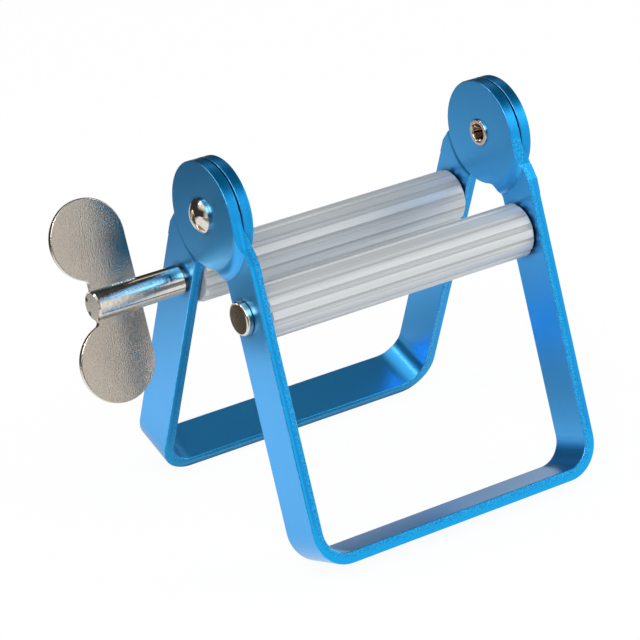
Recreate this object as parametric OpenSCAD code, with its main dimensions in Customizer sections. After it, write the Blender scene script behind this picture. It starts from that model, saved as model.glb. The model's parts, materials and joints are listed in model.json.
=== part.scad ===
// Squeezer for toothpaste and cream tubes.
// Two alike bent strips are hinged at their round ears. Each strip carries a
// fluted roller across its legs, and a winged key turns the rear roller.
// The tube hangs between the rollers, and the legs are pinched together by hand.
// The origin is the middle of the object's footprint, on the surface it stands on.
// +X runs along the rollers, away from the key, and -Y is the front.

/* [Bracket] */
// Outside width of a bracket, over its two legs
bracket_w = 78; // [68:1:90]
// Thickness of the sheet
sheet_t = 2.65; // [2.2:0.05:3]
// Width of the strip
strip_w = 11.5; // [10.5:0.1:12]
// Distance from the hinge's centre to the underside of the foot bar
leg_l = 81.5; // [72:0.1:95]
// Outside radius of the two bends at the foot bar
bend_r = 8.6; // [6:0.2:12]
// Radius of the rounding along the strip's long edges
edge_r = 0.25; // [0.15:0.05:0.6]
// Angle of each bracket from upright, as the object stands
half_open = 19.3; // [10:0.1:28]

/* [Ears] */
// Diameter of the round ears
ear_d = 24.4; // [23:0.2:27]
// Space between two hinged ears, which the washer fills
ear_gap = 0.35; // [0.2:0.05:1.2]
// Flat rim that the ear keeps around its disc before the joggle begins
ear_land = 0.2; // [0.1:0.05:1]
// Inside radius of the two small bends of the joggle
joggle_r = 0.6; // [0.4:0.1:1]
// Radius of the hollow corner between the ear and the inner edge of the strip
neck_r = 1.6; // [0.6:0.2:3]
// How far the strip's front edge stands in front of the ear
strip_step = 0.75; // [0.3:0.05:1.2]
// How far the front edge is drawn in at the waist below the ear
waist_in = 0.45; // [0:0.05:0.8]
// Distance of the waist below the hinge's centre
waist_drop = 8.4; // [7:0.1:10]
// Distance below the hinge's centre at which the strip has its full width
shoulder_drop = 12.1; // [11:0.1:14]

/* [Hinge rivets] */
// Diameter of the rivet's shank
rivet_d = 5; // [4:0.2:5.4]
// Diameter of the domed head
rivet_head_d = 7.8; // [7:0.2:9]
// Height of the straight rim under the dome
rivet_rim_h = 0.6; // [0.4:0.1:1]
// Height of the whole head
rivet_head_h = 2.4; // [1.6:0.1:3]
// Diameter of the rolled end
rivet_roll_d = 6.2; // [5.8:0.1:6.6]
// How far the rolled end stands off its ear
rivet_roll_h = 0.4; // [0.3:0.1:1]
// Thickness of the rivet's wall at the mouth of its hollow
rivet_wall = 0.3; // [0.2:0.05:0.8]
// Depth of the hollow, measured from the rolled end
rivet_hollow_h = 3; // [2:0.2:3.6]
// Number of folds pressed into the hollow's edge
rivet_folds = 3; // [2:1:6]
// Diameter of each fold
rivet_fold_d = 0.9; // [0.6:0.1:1.2]
// Diameter of the washer between two ears
washer_d = 15; // [12:0.5:18]

/* [Rollers] */
// Diameter of a roller over its ribs
roller_d = 12.6; // [11:0.1:12.8]
// Distance of a roller's centre below the hinge, along the leg
roller_drop = 23.4; // [22:0.1:30]
// Distance of a roller's centre in front of the hinge, across the leg
roller_out = 5.6; // [5.4:0.1:6.2]
// Number of ribs
rib_n = 12; // [8:1:16]
// Radius of the round-bottomed groove between two ribs
groove_r = 0.75; // [0.6:0.05:1.1]
// Depth of the groove
groove_h = 0.7; // [0.4:0.05:0.8]
// Length of the bevel at a roller's ends
roller_bevel = 0.6; // [0.3:0.1:0.8]
// Angle by which the idle roller's ribs are turned
idler_turn = 22; // [0:1:30]
// Angle by which the driven roller's ribs are turned
drive_turn = 21; // [0:1:30]

/* [Axles] */
// Diameter of both axles where they pass through legs and rollers
axle_d = 5; // [4:0.2:5.6]
// Diameter of the idle axle's flat head
axle_head_d = 7.8; // [7:0.2:8.6]
// Thickness of the flat head
axle_head_h = 1.5; // [1.2:0.1:2.5]
// Radius of the rounding around the flat head
axle_head_r = 0.6; // [0.3:0.1:1]
// Diameter of the peened ends
peen_d = 7; // [6.4:0.2:8]
// Height of the peened ends
peen_h = 1.2; // [1:0.1:1.6]
// Gap between each head or peened end and its leg
head_gap = 0.15; // [0.1:0.05:0.5]

/* [Key] */
// Diameter of the drive shaft outside its leg
shaft_d = 6.9; // [6.8:0.1:8]
// Distance that the shaft reaches out from its leg
shaft_out = 23; // [21:0.5:30]
// Gap between the leg and the thick part of the shaft
shoulder_gap = 0.55; // [0.4:0.05:1]
// Bevel around the ends of the thick part of the shaft
shaft_bevel = 0.35; // [0.2:0.05:0.5]
// Diameter of the two stake marks that lock the plate, on the shaft's end
stake_d = 1.1; // [0.6:0.1:1.4]
// Depth of the stake marks
stake_h = 0.4; // [0.2:0.1:0.8]
// Distance of the stake marks from the middle of the plate's thickness
stake_off = 1.9; // [1.6:0.1:2.2]
// Distance between the two stake marks
stake_pitch = 3.2; // [2:0.2:3.6]
// Thickness of the key's plate
plate_t = 1.3; // [1:0.1:1.8]
// Radius of the plate's two round lobes
lobe_r = 9.2; // [8:0.2:10]
// Distance between the centres of the lobes
lobe_pitch = 27.9; // [25:0.1:32]
// Distance between the leg and the straight side of the plate
plate_stand = 11.1; // [9:0.1:12]
// Radius of the hollow corners where the lobes meet the neck
plate_neck_r = 0.9; // [0.5:0.1:1.2]
// Rounding of the plate's edges
plate_edge_r = 0.3; // [0.1:0.05:0.4]
// How far the plate sits off the shaft's centre, towards its upper lobe
plate_shift = 0.6; // [-1:0.1:1]
// Angle of the plate from upright, its top leaning back
key_turn = 20; // [-90:1:90]

/* [Fits] */
// Gap all round each shank that turns in a hole
run_gap = 0.05; // [0.02:0.01:0.1]
// Gap all round each part that is pressed together
press_gap = 0.01; // [0:0.01:0.02]
// Play of each roller between its legs, at each end
end_gap = 0.35; // [0.2:0.05:0.5]

/* [Hidden] */
$fn = 96;
// Overlap that joins two bodies of one piece
eps = 0.2;
// How far a cutting body reaches past the faces that it cuts
cut = 1;
// Steps along each bend of the joggle
arc_steps = 8;
// Sides of the circles that round small edges and grooves
small_fn = 32;
blue = "#2f86c9";
nickel = "#c9c6c0";
silver = "#c4c8ca";
satin = "#b3a698";
grey = "#8d9094";

// The ear lies half a sheet and half a gap out of the plane of its leg
ear_r = ear_d / 2;
joggle_h = (sheet_t + ear_gap) / 2;
joggle_mid = sheet_t + 2 * joggle_r;
joggle_turn = acos(1 - joggle_h / joggle_mid);
joggle_in = ear_r + ear_land;
joggle_out = joggle_in + joggle_mid * sin(joggle_turn);
// Front and back edges of the strip, from the hinge's centre
strip_front = -ear_r - strip_step;
strip_back = strip_front + strip_w;
// Outer face of a front ear, and inner face of the ear behind it
ear_outer = bracket_w / 2 + joggle_h;
ear_inner = ear_outer - 2 * sheet_t - ear_gap;
// The inner bottom edges of both foot bars touch the surface
hinge_z = (leg_l - edge_r) * cos(half_open) + edge_r
    - (edge_r - strip_back) * sin(half_open);
inner_w = bracket_w - 2 * sheet_t;
roller_l = inner_w - 2 * end_gap;
hole_d = axle_d + 2 * run_gap;
rivet_hole_d = rivet_d + 2 * run_gap;
rivet_hollow_d = rivet_d - 2 * rivet_wall;
washer_t = ear_gap - run_gap;
// The plate fills a slot in the shaft, its neck up to the bevel of the shaft's end
plate_side = bracket_w / 2 + plate_stand;
lobe_x = plate_side + lobe_r;
shaft_end = bracket_w / 2 + shaft_out;
slot_w = plate_t + 2 * press_gap;
neck_x = shaft_end - shaft_bevel;
// Width of the object on each side of the brackets' middle
reach_left = lobe_x + lobe_r;
reach_right = ear_outer + run_gap + rivet_head_h;
mid_x = (reach_left - reach_right) / 2;

// Turns a shape that stands along Z so that it lies along X
module along_x() {
    rotate([0, 90, 0]) children();
}

// Extrudes an outline drawn in Y and Z along X
module slab_x(t) {
    rotate([90, 0, 90]) linear_extrude(t) children();
}

// The frames of the hinge, the two brackets and the two rollers
module hinge_frame() {
    translate([mid_x, 0, hinge_z]) children();
}

module front_frame() {
    hinge_frame() rotate([-half_open, 0, 0]) children();
}

module rear_frame() {
    hinge_frame() rotate([half_open, 0, 0]) children();
}

module idler_frame() {
    front_frame() translate([0, -roller_out, -roller_drop]) children();
}

module drive_frame() {
    rear_frame() translate([0, roller_out, -roller_drop]) children();
}

// Section of the strip: thickness along X, width along Y, rounded edges
module strip_section() {
    translate([edge_r, 0]) square([sheet_t - 2 * edge_r, strip_w]);
    translate([0, edge_r]) square([sheet_t, strip_w - 2 * edge_r]);
    for (x = [edge_r, sheet_t - edge_r], y = [edge_r, strip_w - edge_r])
        translate([x, y]) circle(edge_r, $fn = small_fn);
}

// Flat outline of the strip's top, in Y and Z. The front edge runs from the ear to a
// waist and out to the full width, and the back edge has a hollow corner at the ear.
module neck_outline() {
    foot_z = -joggle_out - eps;
    corner_y = strip_back + neck_r;
    corner_z = -sqrt(pow(ear_r + neck_r, 2) - pow(corner_y, 2));
    polygon([[-ear_r, 0], [waist_in - ear_r, -waist_drop], [strip_front, -shoulder_drop],
             [strip_front, foot_z], [strip_back, foot_z], [strip_back, 0]]);
    difference() {
        polygon([[strip_back - eps, corner_z], [corner_y, corner_z], [0, 0], [strip_back - eps, 0]]);
        translate([corner_y, corner_z]) circle(neck_r);
    }
}

// Points along an arc, its first point left out
function arc(centre, r, from, to) =
    [for (i = [1 : arc_steps]) let (a = from + (to - from) * i / arc_steps)
        centre + r * [cos(a), sin(a)]];

// Section of the ear, joggle and leg: radius from the hinge along X, depth along Y.
// The joggle is two bends of equal angle, one turned up and the next turned level.
// The level part reaches past the strip's corner at the joggle's foot.
module joggle_section() {
    level_r = norm([strip_front, joggle_out]) + cut;
    up = [joggle_in, sheet_t - joggle_h + joggle_r];
    level = [joggle_out, -joggle_r];
    wide_r = joggle_r + sheet_t;
    polygon(concat(
        [[ear_r / 2, -joggle_h], [joggle_in, -joggle_h]],
        arc(up, wide_r, -90, joggle_turn - 90),
        arc(level, joggle_r, joggle_turn + 90, 90),
        [[level_r, 0], [level_r, sheet_t], [joggle_out, sheet_t]],
        arc(level, wide_r, 90, joggle_turn + 90),
        arc(up, joggle_r, joggle_turn - 90, -90),
        [[ear_r / 2, sheet_t - joggle_h]]
    ));
}

// The ear's disc, its rim rounded like the strip's edges
module ear_disc() {
    translate([-joggle_h, 0, 0]) along_x() rotate_extrude() {
        square([ear_r - edge_r, sheet_t]);
        translate([0, edge_r]) square([ear_r, sheet_t - 2 * edge_r]);
        for (z = [edge_r, sheet_t - edge_r])
            translate([ear_r - edge_r, z]) circle(edge_r, $fn = small_fn);
    }
}

// One leg with its ear, the leg's outer face at X = 0 and its ear towards -X
module leg() {
    ear_disc();
    intersection() {
        along_x() rotate_extrude() joggle_section();
        translate([-joggle_h - cut, 0, 0]) slab_x(sheet_t + joggle_h + 2 * cut) neck_outline();
    }
    translate([0, strip_front, bend_r - leg_l])
        linear_extrude(leg_l - bend_r - joggle_out) strip_section();
}

// One of the two bends at the foot bar, a quarter ring that ends along the bar
module foot_bend() {
    translate([0, strip_front, bend_r - leg_l]) rotate([90, 0, 0]) mirror([0, 0, 1])
        rotate([0, 0, 180]) rotate_extrude(angle = 90)
            translate([bend_r - sheet_t, 0]) strip_section();
}

// The blank, bent up, with its hinge holes and axle holes
module bracket() {
    foot_x = bracket_w / 2 - bend_r;
    difference() {
        union() {
            translate([-bracket_w / 2, 0, 0]) leg();
            translate([bracket_w / 2 - sheet_t, 0, 0]) leg();
            translate([-foot_x, 0, 0]) foot_bend();
            mirror([1, 0, 0]) translate([-foot_x, 0, 0]) foot_bend();
            translate([-foot_x, strip_front, sheet_t - leg_l]) along_x()
                linear_extrude(2 * foot_x) strip_section();
        }
        translate([-bracket_w, 0, 0]) along_x()
            cylinder(d = rivet_hole_d, h = 2 * bracket_w);
        translate([-bracket_w, -roller_out, -roller_drop]) along_x()
            cylinder(d = hole_d, h = 2 * bracket_w);
    }
}

module front_bracket() {
    color(blue) front_frame() bracket();
}

module rear_bracket() {
    color(blue) rear_frame() rotate([0, 0, 180]) bracket();
}

// Domed head, seated on Z = 0: a short rim and a spherical cap
module domed_head(d, h, rim_h) {
    cap_h = h - rim_h;
    ball_r = (cap_h * cap_h + d * d / 4) / (2 * cap_h);
    cylinder(d = d, h = rim_h);
    intersection() {
        translate([0, 0, h - ball_r]) sphere(ball_r);
        cylinder(d = d, h = h + cut);
    }
}

// Rolled end, seated on Z = 0: a rounded ring
module rolled_rim() {
    wall = (rivet_roll_d - rivet_hollow_d) / 2;
    round_r = min(wall, rivet_roll_h) / 2;
    rotate_extrude() {
        translate([rivet_hollow_d / 2 - eps, 0]) square([wall - round_r + eps, rivet_roll_h - round_r]);
        translate([rivet_hollow_d / 2, 0]) square([wall, rivet_roll_h - round_r]);
        translate([rivet_hollow_d / 2 + round_r, 0]) square([wall - 2 * round_r, rivet_roll_h]);
        for (x = [round_r, wall - round_r])
            translate([rivet_hollow_d / 2 + x, rivet_roll_h - round_r]) circle(round_r, $fn = small_fn);
    }
}

// A hinge rivet along Z, its head's seat at Z = 0 and its rolled end beyond two ears
module rivet(far_gap) {
    grip = 2 * sheet_t + ear_gap + far_gap;
    fold_at = (rivet_hollow_d + rivet_wall - rivet_fold_d) / 2;
    difference() {
        union() {
            mirror([0, 0, 1]) domed_head(rivet_head_d, rivet_head_h, rivet_rim_h);
            cylinder(d = rivet_d, h = grip + eps);
            translate([0, 0, grip]) rolled_rim();
        }
        translate([0, 0, grip + rivet_roll_h - rivet_hollow_h])
            cylinder(d1 = rivet_hollow_d / 2, d2 = rivet_hollow_d, h = rivet_hollow_h + eps);
        for (i = [0 : rivet_folds - 1])
            rotate([0, 0, 360 / rivet_folds * i]) translate([fold_at, 0, grip - rivet_roll_h])
                cylinder(d = rivet_fold_d, h = 2 * rivet_roll_h + cut);
    }
}

// The left rivet's head is on the front bracket's ear, so its rolled end has the running gap
module left_rivet() {
    color(nickel) hinge_frame() translate([-ear_outer, 0, 0]) along_x() rivet(run_gap);
}

// The right rivet's rolled end is on the front bracket's ear, so its head has the running gap
module right_rivet() {
    color(nickel) hinge_frame() translate([ear_outer + run_gap, 0, 0]) mirror([1, 0, 0])
        along_x() rivet(run_gap);
}

// Flat washer on a rivet, resting on the front bracket's ear
module washer() {
    difference() {
        cylinder(d = washer_d, h = washer_t);
        translate([0, 0, -cut]) cylinder(d = rivet_hole_d, h = washer_t + 2 * cut);
    }
}

module left_washer() {
    color(grey) hinge_frame() translate([sheet_t - ear_outer, 0, 0]) along_x() washer();
}

module right_washer() {
    color(grey) hinge_frame() translate([ear_inner + sheet_t, 0, 0]) along_x() washer();
}

// Ribbed roller along X, centred, with bevelled ends and a bore
module roller() {
    end_r = roller_d / 2 - roller_bevel;
    groove_at = roller_d / 2 - groove_h + groove_r;
    translate([-roller_l / 2, 0, 0]) along_x() difference() {
        rotate_extrude()
            polygon([[0, 0], [end_r, 0], [roller_d / 2, roller_bevel],
                     [roller_d / 2, roller_l - roller_bevel], [end_r, roller_l], [0, roller_l]]);
        for (i = [0 : rib_n - 1])
            rotate([0, 0, 360 / rib_n * i]) translate([groove_at, 0, -cut])
                cylinder(r = groove_r, h = roller_l + 2 * cut, $fn = small_fn);
        translate([0, 0, -cut]) cylinder(d = axle_d + 2 * press_gap, h = roller_l + 2 * cut);
    }
}

module idler_roller() {
    color(silver) idler_frame() rotate([idler_turn, 0, 0]) roller();
}

module drive_roller() {
    color(silver) drive_frame() rotate([drive_turn, 0, 0]) roller();
}

// Shank of an axle along X, from a gap at the left leg to its peened end at the right
module axle_shank(left_gap) {
    from_x = -bracket_w / 2 - left_gap - eps;
    peen_x = bracket_w / 2 + head_gap;
    translate([from_x, 0, 0]) along_x() cylinder(d = axle_d, h = peen_x + eps - from_x);
    translate([peen_x, 0, 0]) along_x() domed_head(peen_d, peen_h, peen_h / 3);
}

// Idle axle: a flat head with a rounded rim outside the left leg
module idler_axle() {
    flat_r = axle_head_d / 2 - axle_head_r;
    color(nickel) idler_frame() {
        axle_shank(head_gap);
        translate([-bracket_w / 2 - head_gap, 0, 0]) mirror([1, 0, 0]) along_x() rotate_extrude() {
            square([axle_head_d / 2, axle_head_h - axle_head_r]);
            square([flat_r, axle_head_h]);
            intersection() {
                translate([flat_r, axle_head_h - axle_head_r]) circle(axle_head_r, $fn = small_fn);
                square([axle_head_d / 2, axle_head_h]);
            }
        }
    }
}

// Drive shaft: thick outside the left leg, slotted for the key's plate
module drive_shaft() {
    thick_l = shaft_out - shoulder_gap;
    slot_l = shaft_end - plate_side + press_gap;
    color(nickel) drive_frame() difference() {
        union() {
            axle_shank(shoulder_gap);
            translate([-shaft_end, 0, 0]) along_x() {
                cylinder(d1 = shaft_d - 2 * shaft_bevel, d2 = shaft_d, h = shaft_bevel);
                translate([0, 0, shaft_bevel]) cylinder(d = shaft_d, h = thick_l - 2 * shaft_bevel);
                translate([0, 0, thick_l - shaft_bevel])
                    cylinder(d1 = shaft_d, d2 = shaft_d - 2 * shaft_bevel, h = shaft_bevel);
            }
        }
        rotate([-key_turn - half_open, 0, 0]) {
            translate([-shaft_end - cut, -slot_w / 2, -shaft_d])
                cube([slot_l + cut, slot_w, 2 * shaft_d]);
            for (z = [-stake_pitch / 2, stake_pitch / 2])
                translate([-shaft_end, stake_off, z]) along_x()
                    cylinder(d1 = stake_d, d2 = stake_d / 4, h = stake_h);
        }
    }
}

// Half section of the key's plate, along its thickness, with rounded edges
module plate_edge(w) {
    translate([0, -plate_t / 2]) square([w - plate_edge_r, plate_t]);
    translate([0, plate_edge_r - plate_t / 2]) square([w, plate_t - 2 * plate_edge_r]);
    for (z = [plate_edge_r - plate_t / 2, plate_t / 2 - plate_edge_r])
        translate([w - plate_edge_r, z]) circle(plate_edge_r, $fn = small_fn);
}

// Outline of the neck between the lobes' centres, in X and Z, with its two hollow corners
module neck_web() {
    neck_reach = neck_x - lobe_x;
    fill_x = neck_reach + plate_neck_r;
    fill_z = lobe_pitch / 2 - sqrt(pow(lobe_r + plate_neck_r, 2) - pow(fill_x, 2));
    difference() {
        polygon([[0, -lobe_pitch / 2], [-fill_x, -fill_z], [-neck_reach, -fill_z],
                 [-neck_reach, fill_z], [-fill_x, fill_z], [0, lobe_pitch / 2]]);
        for (z = [-fill_z, fill_z])
            translate([-fill_x, z]) circle(plate_neck_r);
    }
}

// Winged plate in X and Z: two round lobes, a straight side, a neck, and a tongue
// that fills the slot up to the shaft's end
module key_plate() {
    color(satin) drive_frame() rotate([-key_turn - half_open, 0, 0]) {
        translate([-lobe_x, 0, plate_shift]) {
            for (z = [-lobe_pitch / 2, lobe_pitch / 2])
                translate([0, 0, z]) rotate([90, 0, 0]) rotate_extrude() plate_edge(lobe_r);
            translate([0, 0, -lobe_pitch / 2]) linear_extrude(lobe_pitch) plate_edge(lobe_r);
            translate([0, plate_t / 2, 0]) rotate([90, 0, 0]) linear_extrude(plate_t) neck_web();
        }
        intersection() {
            translate([-shaft_end, 0, 0]) along_x()
                cylinder(d = shaft_d - 2 * shaft_bevel, h = shaft_bevel + eps);
            translate([-shaft_end, -plate_t / 2, -shaft_d]) cube([shaft_d, plate_t, 2 * shaft_d]);
        }
    }
}

front_bracket();
rear_bracket();
left_rivet();
right_rivet();
left_washer();
right_washer();
idler_roller();
idler_axle();
drive_roller();
drive_shaft();
key_plate();
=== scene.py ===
"""Looks of the tube squeezer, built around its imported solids. Metres, +Z up, -Y is the front."""

import json
import math

import bmesh
import bpy
from mathutils import Matrix, Vector


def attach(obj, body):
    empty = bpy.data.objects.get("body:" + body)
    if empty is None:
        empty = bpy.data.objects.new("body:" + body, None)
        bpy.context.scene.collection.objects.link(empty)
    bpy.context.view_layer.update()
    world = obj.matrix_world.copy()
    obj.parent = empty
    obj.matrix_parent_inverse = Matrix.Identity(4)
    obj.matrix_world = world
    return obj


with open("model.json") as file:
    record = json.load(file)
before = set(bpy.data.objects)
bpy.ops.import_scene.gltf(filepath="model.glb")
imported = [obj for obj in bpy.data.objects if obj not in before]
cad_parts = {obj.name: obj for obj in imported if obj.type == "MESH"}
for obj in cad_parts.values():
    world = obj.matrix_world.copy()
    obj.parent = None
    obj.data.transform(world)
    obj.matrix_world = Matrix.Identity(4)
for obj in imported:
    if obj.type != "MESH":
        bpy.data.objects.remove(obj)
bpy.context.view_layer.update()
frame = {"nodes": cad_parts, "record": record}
nodes = frame["nodes"]

# Centres of the hinge and the two axles, which all run along X
centres = {joint["name"]: Vector(joint["pos_m"]) for joint in frame["record"]["behaviour"]["joints"]}
HINGE = centres["bracket_hinge"]
IDLER = centres["idler_spin"]
DRIVE = centres["key_turn"]
X_AXIS = (1.0, 0.0, 0.0)
OFF_X_AXIS = (0.0, 1.0, 1.0)  # times a vector, leaves what lies off that axis

# Sizes and angles of the solids, as in part.scad
LEAN = math.radians(19.3)  # each bracket from upright
BRACKET_W = 0.078  # over the two legs
LEG_L = 0.0815  # from the hinge to the foot bar's underside
BEND_R = 0.0086  # outside radius of the two bends at the foot bar
EAR_R = 0.0122
JOGGLE_R = 0.0155  # distance from the hinge at which the joggle ends
ROLLER_R = 0.0063  # over the ribs
GROOVE_H = 0.0007
SHAFT_R = 0.00345
PLATE_T = 0.0013
KEY_TURN = math.radians(20)  # the key's plate from upright, its top leaning back

# Where a kind of surface starts and where it is full, as cosines between its normal and a direction
OFF_FACE = (0.75, 0.35)
ON_EDGE = (0.35, 0.75)
ON_STRIP_EDGE = (0.2, 0.5)
CORNER_BY_EDGE = (0.3, 0.6)
CORNER_BY_FACE = (0.97, 0.8)
PLATE_RIM = (0.85, 0.6)
ROLLER_END = (0.5, 0.9)

# Marks on the surfaces. A pair is where a mark starts and where it is full.
EAR_RIM = (EAR_R + 0.00015, EAR_R + 0.00005)  # distances from the hinge
OFF_JOGGLE = (JOGGLE_R, JOGGLE_R + 0.0005)
BANDS_END = (0.073, 0.070)  # distances below the hinge, along the leg, of the bands on the cut edge
EAR_BAND = 0.4  # how much the ears' rims have of the bands' colour
SHEAR_DRAWN = 0.25  # how much of X counts for the streaks on the cut edge
SMOOTH_T = 0.0012  # part of the sheet's thickness, from the outer face, that the blank's cut left smooth
TORN_FADE = 0.0003  # width over which the smooth part of the cut turns into the torn part
TORN_WAVE = 0.0006  # how far that border wanders
TORN = 0.8  # strength of the torn part's colour
SPECK_RELIEF = 2.0  # how much more relief the torn part has than the streaks
WEAR_AND_HIGHLIGHT = 0.75  # strength of the lighter corners: worn metal, and also a painted highlight along the rounded edges
SHADE_REACH = 0.0022  # of the painted shade around the pieces that stand on a bracket
SHADE_OPEN = (0.45, 0.92)  # how open the surroundings are in the deepest painted shade and where it ends
SHADE_LEFT = 0.25  # how much of the blue is left in the deepest painted shade
HOLLOW_RADII = (0.00215, 0.00205)  # just inside the mouth of the hollow in a rivet's rolled end
HOLLOW_X = (0.0385, 0.0375)  # distances from the middle of the brackets
HOLLOW_BROWN = 0.8  # strength of their colour
GROOVE_TO_RIB = (ROLLER_R - GROOVE_H, ROLLER_R - 0.0001)
ROLLER_DRAWN = 0.012  # how much of X counts for the lines along the rollers
CROWN_X = -0.0455  # from here to the legs the plate's faces seem to fall away
CROWN = 9.5  # how fast they do
MARK_H = 0.00008  # height of the brackets' marks and the plate's pebbles, for their bumps
GRAIN_H = 0.00006  # height of the plate's grain and the lathe's marks
LINE_H = 0.00005  # height of the rollers' lines and the washers' grain

# Roughness, in pairs where a noise runs from one to the other
ROUGH_FACE = (0.3, 0.38)
ROUGH_SHEARED = (0.26, 0.36)
ROUGH_COAT = 0.25
ROUGH_NICKEL = 0.06
ROUGH_PLATE = (0.14, 0.22)
ROUGH_PLATE_RIM = 0.12
ROUGH_RIB = (0.42, 0.52)
ROUGH_GROOVE = 0.6
ROUGH_WASHER = (0.35, 0.5)

# Beads of burr beside the key's plate
BEADS = 8
BEAD_R = 0.0003
BEAD_STEP = 0.00078
BEADS_X = -0.0562  # the leftmost bead's centre, from the middle of the brackets
BEAD_SHAPE = (1.25, 1.0, 0.8)  # length, width and height, as shares of a bead's radius
BEAD_LEAST, BEAD_MORE, BEAD_BEAT = 0.8, 0.3, 2.3  # the smallest one, the rest of the size, its rhythm
BEAD_WANDER, WANDER_BEAT = 0.0001, 5.1  # how far the beads stray along the row, and in what rhythm

# Noise of the materials: cells in a metre, finer layers, and how strong these are
BLASTED = {"scale": 9000, "detail": 3, "roughness": 0.6}
UNEVEN = {"scale": 3200, "detail": 3, "roughness": 0.6}
BLUE_CLOUDS = {"scale": 55, "detail": 3, "roughness": 0.55}
TORN_BORDER = {"scale": 1200}
TORN_SPECKS = {"scale": 3600, "detail": 2, "roughness": 0.7}
# spots that break up the worn corners and their painted highlight
WEAR_AND_HIGHLIGHT_SPOTS = {"scale": 900, "detail": 3, "roughness": 0.6}
SHEAR_BANDS = {"scale": 1100}
DULL_SPOTS = {"scale": 1400, "detail": 4, "roughness": 0.6}
LATHE_MARKS = {"scale": 7000, "detail": 3.0}
PLATE_PEBBLES = {"scale": 3400}
PLATE_GRAIN = {"scale": 5200, "detail": 3, "roughness": 0.65}
PLATE_CLOUDS = {"scale": 120, "detail": 3, "roughness": 0.5}
PLATE_PITS = {"scale": 4200, "detail": 2, "roughness": 0.7}
DRAWN_LINES = {"scale": 6500, "detail": 4, "roughness": 0.7}
DRAWN_BANDS = {"scale": 900, "detail": 2, "roughness": 0.5}
TURNED_RINGS = {"scale": 9000}
WASHER_GRAIN = {"scale": 3000, "detail": 3, "roughness": 0.6}
MIDDLE = (0.3, 0.7)  # the range that most of a noise lies in


def rgba(r, g, b):
    """A colour written in sRGB steps of 0 to 255."""
    def linear(c):
        c /= 255
        return c / 12.92 if c <= 0.04045 else ((c + 0.055) / 1.055) ** 2.4
    return (linear(r), linear(g), linear(b), 1.0)


# Colours, in pairs where a noise runs from one to the other
BLUE_FACE = rgba(40, 172, 247), rgba(54, 181, 254)
BLUE_CLOUD = rgba(36, 168, 245)
BLUE_SHEARED = rgba(0, 153, 220), rgba(6, 170, 237)
BLUE_BAND = rgba(2, 120, 194)
BLUE_TORN = rgba(0, 112, 180), rgba(40, 188, 250)
# lighter corners: worn metal and a painted highlight
BLUE_WEAR_AND_HIGHLIGHT = rgba(150, 212, 245)
# colour of the painted shade in the nooks
BLUE_SHADE = rgba(2, 30, 62)
NICKEL = rgba(232, 226, 216), rgba(212, 202, 188)
NICKEL_HOLLOW = rgba(118, 88, 62)
SATIN = rgba(176, 166, 153), rgba(204, 194, 181)
SATIN_CLOUD = rgba(170, 161, 150)
SATIN_PIT = rgba(122, 115, 107)
SATIN_EDGE = rgba(226, 220, 208)
ALUMINIUM = rgba(198, 202, 203), rgba(215, 217, 217)
ALUMINIUM_BAND = rgba(186, 194, 201)
# painted shade in the grooves
ALUMINIUM_GROOVE_SHADE = rgba(150, 152, 154)
WASHER = rgba(110, 112, 116), rgba(150, 152, 156)
# colour of the painted dark reflections
DARK_REFLECTION_COLOUR = rgba(58, 54, 52)
FLOOR_WHITE = (0.96, 0.96, 0.96, 1)
WHITE = (1, 1, 1, 1)


# Node helpers

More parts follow.
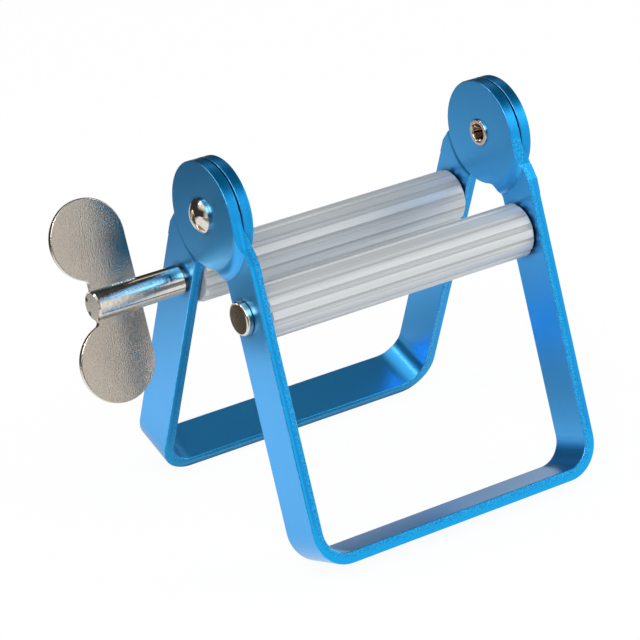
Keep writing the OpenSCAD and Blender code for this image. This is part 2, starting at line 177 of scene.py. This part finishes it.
class Nodes:
    """Short calls for the nodes used here, in the tree of a material or the world."""

    def __init__(self, tree):
        self.tree = tree

    def put(self, socket, value):
        if isinstance(value, bpy.types.NodeSocket):
            self.tree.links.new(value, socket)
        else:
            socket.default_value = value

    def new(self, kind, **settings):
        made = self.tree.nodes.new(kind)
        for key, value in settings.items():
            setattr(made, key, value)
        return made

    def filled(self, kind, sockets, values, **settings):
        """A new node with values or links put into the named or numbered inputs."""
        made = self.new(kind, **settings)
        for socket, value in zip(sockets, values):
            self.put(made.inputs[socket], value)
        return made

    def math(self, operation, *values):
        return self.filled("ShaderNodeMath", range(len(values)), values, operation=operation).outputs[0]

    def product(self, first, *others):
        for value in others:
            first = self.math("MULTIPLY", first, value)
        return first

    def vector(self, operation, *values):
        made = self.filled("ShaderNodeVectorMath", range(len(values)), values, operation=operation)
        return made.outputs["Value" if operation in ("DOT_PRODUCT", "LENGTH") else "Vector"]

    def minus(self, vector, point):
        return self.vector("SUBTRACT", vector, tuple(point))

    def part_along(self, vector, direction):
        return self.vector("DOT_PRODUCT", vector, direction)

    def size_along(self, vector, direction):
        """How far a vector goes along a direction, either way."""
        return self.math("ABSOLUTE", self.part_along(vector, direction))

    def radius(self, vector):
        """Length of a vector as seen along the X axis."""
        return self.vector("LENGTH", self.vector("MULTIPLY", vector, OFF_X_AXIS))

    def coordinate(self, output):
        return self.new("ShaderNodeTexCoord").outputs[output]

    def drawn_out(self, vector, share):
        """A place of which only a share of X counts, so that its noise is drawn out along X."""
        return self.filled("ShaderNodeMapping", ("Vector", "Scale"),
                           (vector, (share, 1.0, 1.0))).outputs[0]

    def noise(self, vector, scale, detail=2.0, roughness=0.5):
        return self.filled("ShaderNodeTexNoise", ("Vector", "Scale", "Detail", "Roughness"),
                           (vector, scale, detail, roughness)).outputs["Fac"]

    def line_noise(self, value, scale, detail=2.0):
        """Noise that varies with one number only, for bands and turned marks."""
        return self.filled("ShaderNodeTexNoise", ("W", "Scale", "Detail"), (value, scale, detail),
                           noise_dimensions="1D").outputs["Fac"]

    def cells(self, vector, scale):
        return self.filled("ShaderNodeTexVoronoi", ("Vector", "Scale"), (vector, scale)).outputs["Distance"]

    def span(self, value, low, high, to_low=0.0, to_high=1.0):
        """A value's range from low to high, laid onto another one and held at its ends."""
        return self.filled("ShaderNodeMapRange", ("Value", "From Min", "From Max", "To Min", "To Max"),
                           (value, low, high, to_low, to_high), clamp=True).outputs["Result"]

    def mix(self, factor, a, b):
        """A colour from a, at factor 0, to b, at 1."""
        return self.filled("ShaderNodeMix", (0, 6, 7), (factor, a, b), data_type="RGBA").outputs[2]

    def blend(self, factor, a, b):
        """A number from a, at factor 0, to b, at 1."""
        return self.filled("ShaderNodeMix", (0, 2, 3), (factor, a, b), data_type="FLOAT").outputs[0]

    def bump(self, height, strength, distance, normal=None):
        made = self.filled("ShaderNodeBump", ("Height", "Strength", "Distance"),
                           (height, strength, distance))
        if normal is not None:
            self.put(made.inputs["Normal"], normal)
        return made.outputs["Normal"]

    def nook_shade(self):
        """1 in the open, and less where other surfaces stand within reach, for the painted shade in the
        nooks.
        """
        made = self.filled("ShaderNodeAmbientOcclusion", ("Distance",), (SHADE_REACH,), samples=12)
        return self.span(made.outputs["AO"], *SHADE_OPEN, SHADE_LEFT, 1.0)

    def shows_white(self):
        """1 for the rays that should meet the white backdrop: from the camera, a reflection or glass."""
        path = self.new("ShaderNodeLightPath")
        total = path.outputs["Is Camera Ray"]
        for name in ("Is Glossy Ray", "Is Transmission Ray"):
            total = self.math("MAXIMUM", total, path.outputs[name])
        return total


class Shader(Nodes):
    """A material's node tree, and the calls that finish it."""

    def __init__(self, name):
        self.mat = bpy.data.materials.new(name)
        self.mat.use_nodes = True
        super().__init__(self.mat.node_tree)
        self.bsdf = self.tree.nodes["Principled BSDF"]

    def finish(self, colour, roughness, normal, metallic=1.0):
        for name, value in (("Base Color", colour), ("Roughness", roughness), ("Normal", normal),
                            ("Metallic", metallic)):
            self.put(self.bsdf.inputs[name], value)
        return self.mat

    def finish_mixed(self, factor, a, b):
        """Ends the material in a mix of two shaders, from a, at factor 0, to b, at 1."""
        mixed = self.filled("ShaderNodeMixShader", range(3), (factor, a, b))
        self.put(self.tree.nodes["Material Output"].inputs["Surface"], mixed.outputs[0])
        return self.mat


# Materials. Where a span's value comes from the surface's normal, its limits are cosines.

def sheared_edge(s, place, from_hinge, down, by_ear):
    """Colour of a bracket's cut edge, height of its marks, and the streaks that its gloss follows.
    The cut is smooth next to the outer face and torn behind that, except around the ears."""
    streaks = s.noise(s.drawn_out(place, SHEAR_DRAWN), **BLASTED)
    colour = s.mix(s.span(streaks, *MIDDLE), *BLUE_SHEARED)
    bands = s.line_noise(s.part_along(place, X_AXIS), **SHEAR_BANDS)
    banded = s.product(s.span(bands, 0.4, 0.65, 0.6, 0.0), s.span(down, *BANDS_END))
    banded = s.math("MAXIMUM", banded, s.product(by_ear, EAR_BAND))
    colour = s.mix(banded, colour, BLUE_BAND)

    past_side = s.math("SUBTRACT", s.size_along(from_hinge, X_AXIS), BRACKET_W / 2 - BEND_R)
    past_foot = s.math("SUBTRACT", down, LEG_L - BEND_R)
    past_side, past_foot = (s.math("MAXIMUM", past, 0.0) for past in (past_side, past_foot))
    past_both = s.math("ADD", s.product(past_side, past_side), s.product(past_foot, past_foot))
    outward = s.math("SQRT", past_both)
    ragged = s.math("ADD", outward, s.product(s.noise(place, **TORN_BORDER), TORN_WAVE))
    border = BEND_R - SMOOTH_T + TORN_FADE
    torn = s.product(s.span(ragged, border, border - TORN_FADE), s.span(by_ear, 1.0, 0.0))
    specks = s.noise(place, **TORN_SPECKS)
    mottled = s.mix(s.span(specks, 0.4, 0.62), *BLUE_TORN)
    colour = s.mix(s.product(torn, TORN), colour, mottled)
    return colour, s.blend(torn, streaks, s.product(specks, SPECK_RELIEF)), streaks


def blue_anodised(name, side):
    """Fine blasted faces, sheared edges, corners lightened as wear and as a painted highlight, and painted
    shade in the nooks.
    side is -1 for the front bracket and 1 for the rear one, which is the same part turned round."""
    s = Shader(name)
    place = s.coordinate("Object")
    normal = s.coordinate("Normal")
    from_hinge = s.minus(place, HINGE)
    strip_width = (0.0, side * math.cos(LEAN), math.sin(LEAN))
    leg_down = (0.0, side * math.sin(LEAN), -math.cos(LEAN))
    radius = s.radius(from_hinge)
    by_ear = s.span(radius, *EAR_RIM)
    across = s.size_along(normal, strip_width)
    flat = s.size_along(normal, X_AXIS)
    edge = s.product(s.span(flat, *OFF_FACE), s.math("MAXIMUM", by_ear, s.span(across, *ON_EDGE)))

    grain = s.noise(place, **BLASTED)
    clouds = s.noise(place, **BLUE_CLOUDS)
    face = s.mix(s.span(grain, 0.25, 0.75), *BLUE_FACE)
    face = s.mix(s.span(clouds, *MIDDLE, 0.0, 0.5), face, BLUE_CLOUD)
    down = s.part_along(from_hinge, leg_down)
    sheared, marks, streaks = sheared_edge(s, place, from_hinge, down, by_ear)

    corner = s.product(s.span(flat, *CORNER_BY_EDGE), s.span(flat, *CORNER_BY_FACE))
    on_strip = s.product(s.span(across, *ON_STRIP_EDGE), s.span(radius, *OFF_JOGGLE))
    corner = s.product(corner, s.math("MAXIMUM", by_ear, on_strip))
    # worn corners, lightened also as a painted highlight of the rounded edges
    wear_and_highlight = s.product(corner, s.span(s.noise(place, **WEAR_AND_HIGHLIGHT_SPOTS), 0.4, 0.65))
    colour = s.mix(edge, face, sheared)
    colour = s.mix(s.product(wear_and_highlight, WEAR_AND_HIGHLIGHT), colour, BLUE_WEAR_AND_HIGHLIGHT)
    # painted shade: the blue turns dark where other surfaces stand close
    colour = s.mix(s.nook_shade(), BLUE_SHADE, colour)

    rough = s.blend(edge, s.span(grain, 0.2, 0.8, *ROUGH_FACE), s.span(streaks, *MIDDLE, *ROUGH_SHEARED))
    uneven = s.bump(s.noise(place, **UNEVEN), strength=0.2, distance=MARK_H)
    relief = s.bump(s.product(marks, edge), strength=0.22, distance=MARK_H, normal=uneven)
    s.put(s.bsdf.inputs["Coat Weight"], s.blend(edge, 0.6, 0.2))
    s.put(s.bsdf.inputs["Coat Roughness"], ROUGH_COAT)
    return s.finish(colour, rough, relief, metallic=0.9)


def polished_nickel(name, turning, dullest):
    """Bright plating with a few duller spots and, as deep as turning says, marks from the lathe.
    The hollows of the rivets' rolled ends, which face each other, are brown."""
    s = Shader(name)
    place = s.coordinate("Object")
    from_hinge = s.minus(place, HINGE)
    spots = s.noise(place, **DULL_SPOTS)
    turned = s.line_noise(s.part_along(place, X_AXIS), **LATHE_MARKS)
    hollow = s.product(s.span(s.radius(from_hinge), *HOLLOW_RADII),
                       s.span(s.size_along(from_hinge, X_AXIS), *HOLLOW_X))
    colour = s.mix(s.span(spots, 0.3, 0.75), *NICKEL)
    colour = s.mix(s.product(hollow, HOLLOW_BROWN), colour, NICKEL_HOLLOW)
    rough = s.span(spots, 0.45, 0.8, ROUGH_NICKEL, dullest)
    return s.finish(colour, rough, s.bump(turned, strength=turning, distance=GRAIN_H))


def satin_nickel(name):
    """Tumbled plate: fine pebbles, pits and grain on the faces, and a brighter burnished edge.
    The faces are flat, and the crown bends their reflections as if they fell away beside the legs."""
    s = Shader(name)
    place = s.coordinate("Object")
    normal = s.coordinate("Normal")
    plate_normal = (0.0, math.cos(KEY_TURN), -math.sin(KEY_TURN))
    edge = s.span(s.size_along(normal, plate_normal), *PLATE_RIM)
    grain = s.noise(place, **PLATE_GRAIN)
    clouds = s.noise(place, **PLATE_CLOUDS)
    pits = s.noise(place, **PLATE_PITS)
    face = s.mix(s.span(grain, *MIDDLE), *SATIN)
    face = s.mix(s.span(clouds, 0.35, 0.7, 0.0, 0.45), face, SATIN_CLOUD)
    face = s.mix(s.span(pits, 0.54, 0.66, 0.0, 0.4), face, SATIN_PIT)
    colour = s.mix(edge, face, SATIN_EDGE)
    rough = s.blend(edge, s.span(grain, *MIDDLE, *ROUGH_PLATE), ROUGH_PLATE_RIM)

    inward = s.math("MAXIMUM", s.part_along(s.minus(place, (CROWN_X, 0.0, 0.0)), X_AXIS), 0.0)
    crown = s.bump(s.product(inward, inward, -CROWN), strength=1.0, distance=1.0)
    dents = s.bump(s.cells(place, **PLATE_PEBBLES), strength=0.4, distance=MARK_H, normal=crown)
    return s.finish(colour, rough, s.bump(grain, strength=0.3, distance=GRAIN_H, normal=dents))


def bare_aluminium(name, axis):
    """Extruded ribs with fine lengthwise lines, rougher grooves darkened with painted shade, and turned end
    faces.
    """
    s = Shader(name)
    place = s.coordinate("Object")
    normal = s.coordinate("Normal")
    radius = s.radius(s.minus(place, axis))
    on_end = s.span(s.size_along(normal, X_AXIS), *ROLLER_END)
    drawn = s.drawn_out(place, ROLLER_DRAWN)
    bands = s.noise(drawn, **DRAWN_BANDS)
    scored = s.blend(on_end, s.noise(drawn, **DRAWN_LINES), s.line_noise(radius, **TURNED_RINGS))
    up_rib = s.span(radius, *GROOVE_TO_RIB)
    colour = s.mix(s.span(scored, *MIDDLE), *ALUMINIUM)
    colour = s.mix(s.span(bands, 0.35, 0.7, 0.0, 0.5), colour, ALUMINIUM_BAND)
    # painted shade: darker down in the grooves
    colour = s.mix(s.span(up_rib, 0.0, 0.6, 0.35, 0.0), colour, ALUMINIUM_GROOVE_SHADE)
    rough = s.blend(up_rib, ROUGH_GROOVE, s.span(scored, *MIDDLE, *ROUGH_RIB))
    return s.finish(colour, rough, s.bump(scored, strength=0.16, distance=LINE_H), metallic=0.4)


def plain_steel(name):
    """Dull washer steel with a fine grain."""
    s = Shader(name)
    grain = s.noise(s.coordinate("Object"), **WASHER_GRAIN)
    rough = s.span(grain, *MIDDLE, *ROUGH_WASHER)
    return s.finish(s.mix(grain, *WASHER), rough, s.bump(grain, strength=0.2, distance=LINE_H))


def dress(material, *pieces):
    """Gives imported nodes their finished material."""
    for piece in pieces:
        for held in nodes[piece].material_slots:
            held.material = material


nickel = polished_nickel("nickel", turning=0.05, dullest=0.16)
dress(blue_anodised("blue_front", -1), "front_bracket")
dress(blue_anodised("blue_rear", 1), "rear_bracket")
dress(bare_aluminium("aluminium_idler", IDLER), "idler_roller")
dress(bare_aluminium("aluminium_drive", DRIVE), "drive_roller")
dress(satin_nickel("satin_nickel"), "key_plate")
dress(polished_nickel("shaft_nickel", turning=0.3, dullest=0.12), "drive_shaft")
dress(nickel, "left_rivet", "right_rivet", "idler_axle")
dress(plain_steel("washer_steel"), "left_washer", "right_washer")


def in_scene(name, data):
    """A new object of the given data, in the scene."""
    made = bpy.data.objects.new(name, data)
    bpy.context.scene.collection.objects.link(made)
    return made


# Beads of burr along the slot

def slot_burr():
    """The row of small beads on the shaft, raised by pressing the plate in, beside its front face."""
    beads = bmesh.new()
    beside_plate = (0, -PLATE_T / 2 - BEAD_R / 3, math.sqrt(SHAFT_R ** 2 - PLATE_T ** 2 / 4))
    row = Matrix.Translation(DRIVE) @ Matrix.Rotation(-KEY_TURN, 4, "X") @ Matrix.Translation(beside_plate)
    for i in range(BEADS):
        size = BEAD_R * (BEAD_LEAST + BEAD_MORE * math.sin(BEAD_BEAT * i) ** 2)
        shape = Matrix.Diagonal([share * size for share in BEAD_SHAPE] + [1.0])
        x = BEADS_X + BEAD_STEP * i + BEAD_WANDER * math.sin(WANDER_BEAT * i)
        place = row @ Matrix.Translation((x, 0, 0))
        bmesh.ops.create_icosphere(beads, subdivisions=3, radius=1, matrix=place @ shape)
    mesh = bpy.data.meshes.new("slot_burr")
    beads.to_mesh(mesh)
    beads.free()
    mesh.shade_smooth()
    made = in_scene("slot_burr", mesh)
    made.data.materials.append(nickel)
    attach(made, "drive")


slot_burr()


# Floor, dark cards, world and lamps

WALL_Y = 0.55  # the back wall of the dark cards
CEILING_Z = 0.9
CARD_Z = 0.002  # cards on the floor
LOW_CARD_Z = 0.0015  # the one that lies partly under another
FLOOR_GLOW = 0.94  # how much of the floor is plain white to the rays that should meet the backdrop
WORLD_LIGHT = 0.75  # strength of the white world as a light
MIDDLE_OF_OBJECT = (0, 0, 0.04)


def rectangle(name, x, y, z):
    """A flat rectangle. Two of x, y and z are its lowest and highest value, the third is one number."""
    ranges = [v if isinstance(v, tuple) else (v, v) for v in (x, y, z)]
    first, second = (i for i, v in enumerate((x, y, z)) if isinstance(v, tuple))
    corners = []
    for end, other_end in ((0, 0), (1, 0), (1, 1), (0, 1)):
        corner = [lowest for lowest, _ in ranges]
        corner[first] = ranges[first][end]
        corner[second] = ranges[second][other_end]
        corners.append(corner)
    mesh = bpy.data.meshes.new(name)
    mesh.from_pydata(corners, [], [(0, 1, 2, 3)])
    return in_scene(name, mesh)


def pale_floor():
    """White to the rays that should meet the backdrop, with a little of the surface that takes shadow."""
    s = Shader("pale_floor")
    for name, value in (("Base Color", FLOOR_WHITE), ("Roughness", 0.9), ("Specular IOR Level", 0.0)):
        s.put(s.bsdf.inputs[name], value)
    glow = s.new("ShaderNodeEmission")
    return s.finish_mixed(s.product(s.shows_white(), FLOOR_GLOW), s.bsdf.outputs[0], glow.outputs[0])


def dark_card(name, x, y, z, density, *fades):
    """A painted dark reflection: a dark sheet that only reflections see, and that casts no shadow. Each
    fade names an axis, and where it is clear and full.
    """
    made = rectangle(name, x, y, z)
    s = Shader(name)
    place = s.filled("ShaderNodeSeparateXYZ", (0,), (s.coordinate("Object"),))
    cover = density
    for axis, clear, full in fades:
        cover = s.product(cover, s.span(place.outputs[axis], clear, full))
    dark_reflection = s.filled("ShaderNodeEmission", ("Color",), (DARK_REFLECTION_COLOUR,))
    see_through = s.new("ShaderNodeBsdfTransparent")
    made.data.materials.append(s.finish_mixed(cover, see_through.outputs[0], dark_reflection.outputs[0]))
    made.visible_camera = False
    made.visible_diffuse = False
    made.visible_shadow = False


floor = rectangle("floor", (-3, 3), (-3, 3), 0)
floor.data.materials.append(pale_floor())

dark_card("back_wall", (-1.5, 1.3), WALL_Y, (0, CEILING_Z), 1.0, ("X", 1.3, 1.0), ("Z", CEILING_Z, 0.5))
dark_card("ceiling", (-0.2, 1.3), (-1.4, WALL_Y), CEILING_Z, 1.0, ("Y", -1.4, -0.3), ("X", -0.2, 0.3))
dark_card("left_wall", -0.9, (-0.6, WALL_Y), (0, 0.7), 1.0, ("Y", -0.6, -0.2), ("Z", 0.7, 0.4))
dark_card("back_floor", (-1.5, 0.5), (0.05, WALL_Y), CARD_Z, 1.0, ("Y", 0.06, 0.15), ("X", 0.02, -0.13))
# painted shadow: the floor between the legs, darker as reflections see it
dark_card("painted_shadow_between_legs", (-0.04, 0.06), (-0.04, 0.09), LOW_CARD_Z,
          0.6, ("Y", -0.04, 0.0), ("Y", 0.09, 0.06), ("X", -0.04, -0.01), ("X", 0.06, 0.03))
dark_card("front_left", (-1.4, 0), -0.8, (0, 0.6),
          1.0, ("X", 0, -0.25), ("Z", 0.6, 0.4), ("X", -1.4, -1.1))
# painted shade: the floor in front, darker as reflections see it, dims the glow beside the heads
dark_card("painted_shade_front_floor", (-0.7, -0.04), (-0.7, -0.06), CARD_Z,
          0.75, ("X", -0.04, -0.08), ("Y", -0.06, -0.11))

world = bpy.data.worlds.new("studio")
bpy.context.scene.world = world
world.use_nodes = True
sky = Nodes(world.node_tree)
backdrop = sky.tree.nodes["Background"]
sky.put(backdrop.inputs["Color"], WHITE)
sky.put(backdrop.inputs["Strength"], sky.span(sky.shows_white(), 0.0, 1.0, WORLD_LIGHT, 1.0))


def lamp(name, place, aim, side, power):
    """A square lamp at a place, aimed at another."""
    light = bpy.data.lights.new(name, "AREA")
    light.shape = "RECTANGLE"
    light.size = light.size_y = side
    light.energy = power
    turn = (Vector(aim) - Vector(place)).to_track_quat("-Z", "Y").to_matrix().to_4x4()
    in_scene(name, light).matrix_world = Matrix.Translation(place) @ turn


lamp("key_lamp", (-0.5, -0.6, 0.8), MIDDLE_OF_OBJECT, side=0.6, power=4)
lamp("fill_lamp", (0.8, -0.5, 0.5), MIDDLE_OF_OBJECT, side=0.5, power=2)
lamp("bend_lamp", (-0.72, 0.5, 0.78), (0.04, 0.04, 0.01), side=0.12, power=0.7)


# Camera, at the angle of the photograph

AZIMUTH, ELEVATION, ROLL = (math.radians(v) for v in (-33.273, 25.165, -2.509))
TARGET = HINGE + Vector((-0.0078347, 0.0046956, -0.0365845))
DISTANCE = 0.706402
FOCAL_PIXELS = 3090.868
IMAGE_PIXELS = 640
SENSOR_MM = 36

back_way = Vector((math.sin(AZIMUTH) * math.cos(ELEVATION),
                   -math.cos(AZIMUTH) * math.cos(ELEVATION), math.sin(ELEVATION)))
right_way = Vector((math.cos(AZIMUTH), math.sin(AZIMUTH), 0))
up_way = back_way.cross(right_way)
turned_right = right_way * math.cos(ROLL) + up_way * math.sin(ROLL)
turned_up = up_way * math.cos(ROLL) - right_way * math.sin(ROLL)
camera = in_scene("camera", bpy.data.cameras.new("camera"))
camera.data.sensor_width = SENSOR_MM
camera.data.lens = FOCAL_PIXELS / IMAGE_PIXELS * SENSOR_MM
camera.matrix_world = (Matrix.Translation(TARGET + back_way * DISTANCE)
                       @ Matrix((turned_right, turned_up, back_way)).transposed().to_4x4())
bpy.context.scene.camera = camera
bpy.context.scene.view_settings.view_transform = "Standard"
